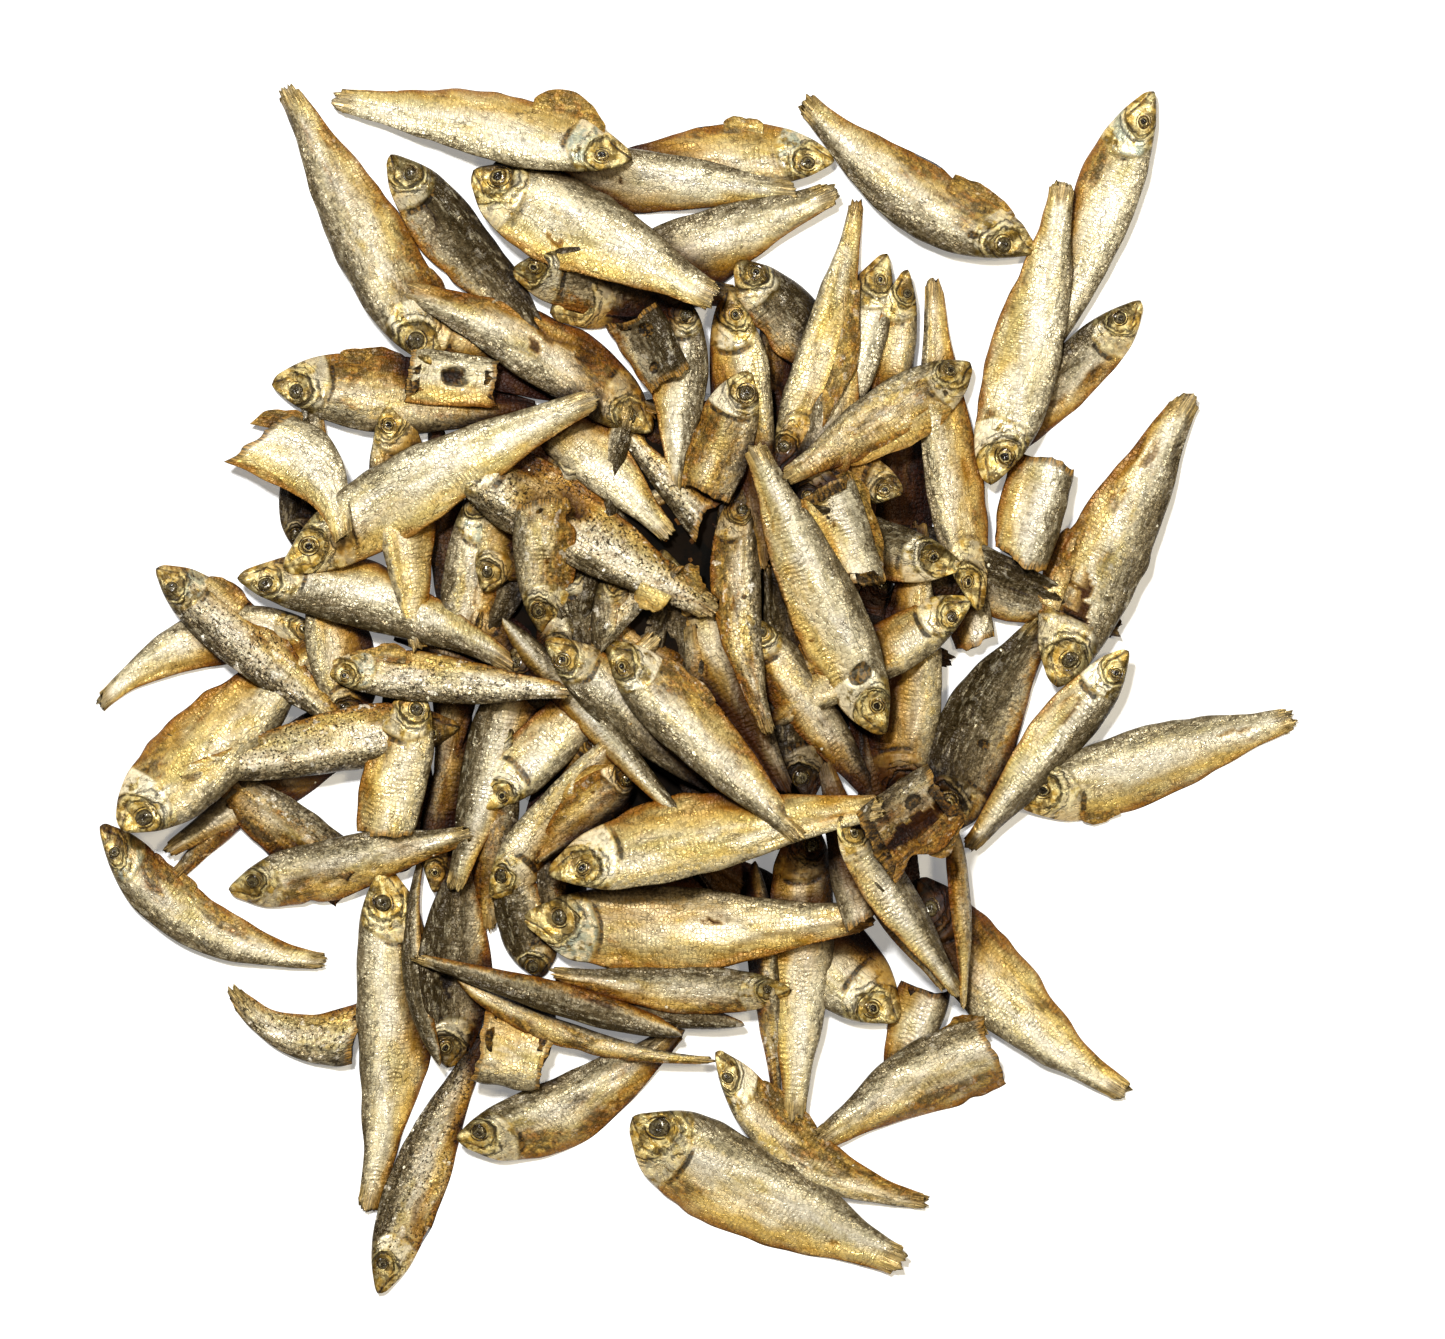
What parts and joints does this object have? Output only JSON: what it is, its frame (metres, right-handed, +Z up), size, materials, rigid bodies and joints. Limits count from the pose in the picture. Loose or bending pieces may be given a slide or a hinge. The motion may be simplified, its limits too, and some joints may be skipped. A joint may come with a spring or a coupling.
{
  "type": "heap of dried sprats",
  "caption": "Loose heap of small whole dried sprats and broken pieces of them, lying on one another as tipped out, deepest in the middle.",
  "frame": {"origin": "on the surface that the heap lies on, under the middle of its outline", "axes": "+Z up; +Y towards the side that is at the top of the picture, +X to its right"},
  "size_m": [0.3648, 0.3674, 0.0409],
  "materials": {
    "dried_fish": "dry silver and golden fish skin, slightly glossy"
  },
  "bodies": {
    "root": {"sprats": "dried_fish"}
  },
  "joints": []
}
